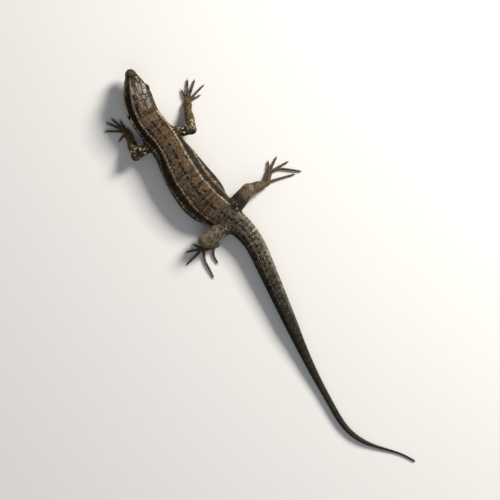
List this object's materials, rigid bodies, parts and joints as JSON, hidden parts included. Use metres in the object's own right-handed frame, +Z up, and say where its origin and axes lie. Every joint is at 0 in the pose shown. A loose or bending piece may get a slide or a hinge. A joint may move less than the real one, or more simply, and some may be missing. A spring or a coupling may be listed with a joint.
{
  "type": "wall lizard",
  "caption": "Life-size still model of a slender striped wall lizard lying flat, head turned and long tail curved.",
  "frame": {"origin": "centre of the bounding box, on the floor that the lizard lies on", "axes": "+X from the tail tip towards the snout, +Y to the animal's left, +Z up"},
  "size_m": [0.1512, 0.0468, 0.0087],
  "materials": {
    "head_scales": "smooth glossy shields, mottled dark and pale brown",
    "body_scales": "fine dry granular scales, brown back, pale lines, dark flank bands",
    "tail_scales": "ringed keeled scales, dark olive brown with fine pale and black flecks",
    "limb_scales": "small flat scales, greyish brown with dark specks",
    "eye": "wet gloss, dark pupil, bronze iris",
    "claw": "smooth dark horn"
  },
  "bodies": {
    "root": {"head": "head_scales", "lower_jaw": "head_scales", "neck": "body_scales", "trunk": "body_scales", "hips": "body_scales", "tail_root": "tail_scales", "tail_fore": "tail_scales", "tail_middle": "tail_scales", "tail_end": "tail_scales", "tail_tip": "tail_scales", "upper_arm_right": "limb_scales", "forearm_right": "limb_scales", "hand_right": "limb_scales", "thigh_right": "limb_scales", "shin_right": "limb_scales", "foot_right": "limb_scales", "upper_arm_left": "limb_scales", "forearm_left": "limb_scales", "hand_left": "limb_scales", "thigh_left": "limb_scales", "shin_left": "limb_scales", "foot_left": "limb_scales", "eye_left": "eye", "eye_right": "eye"}
  },
  "joints": []
}
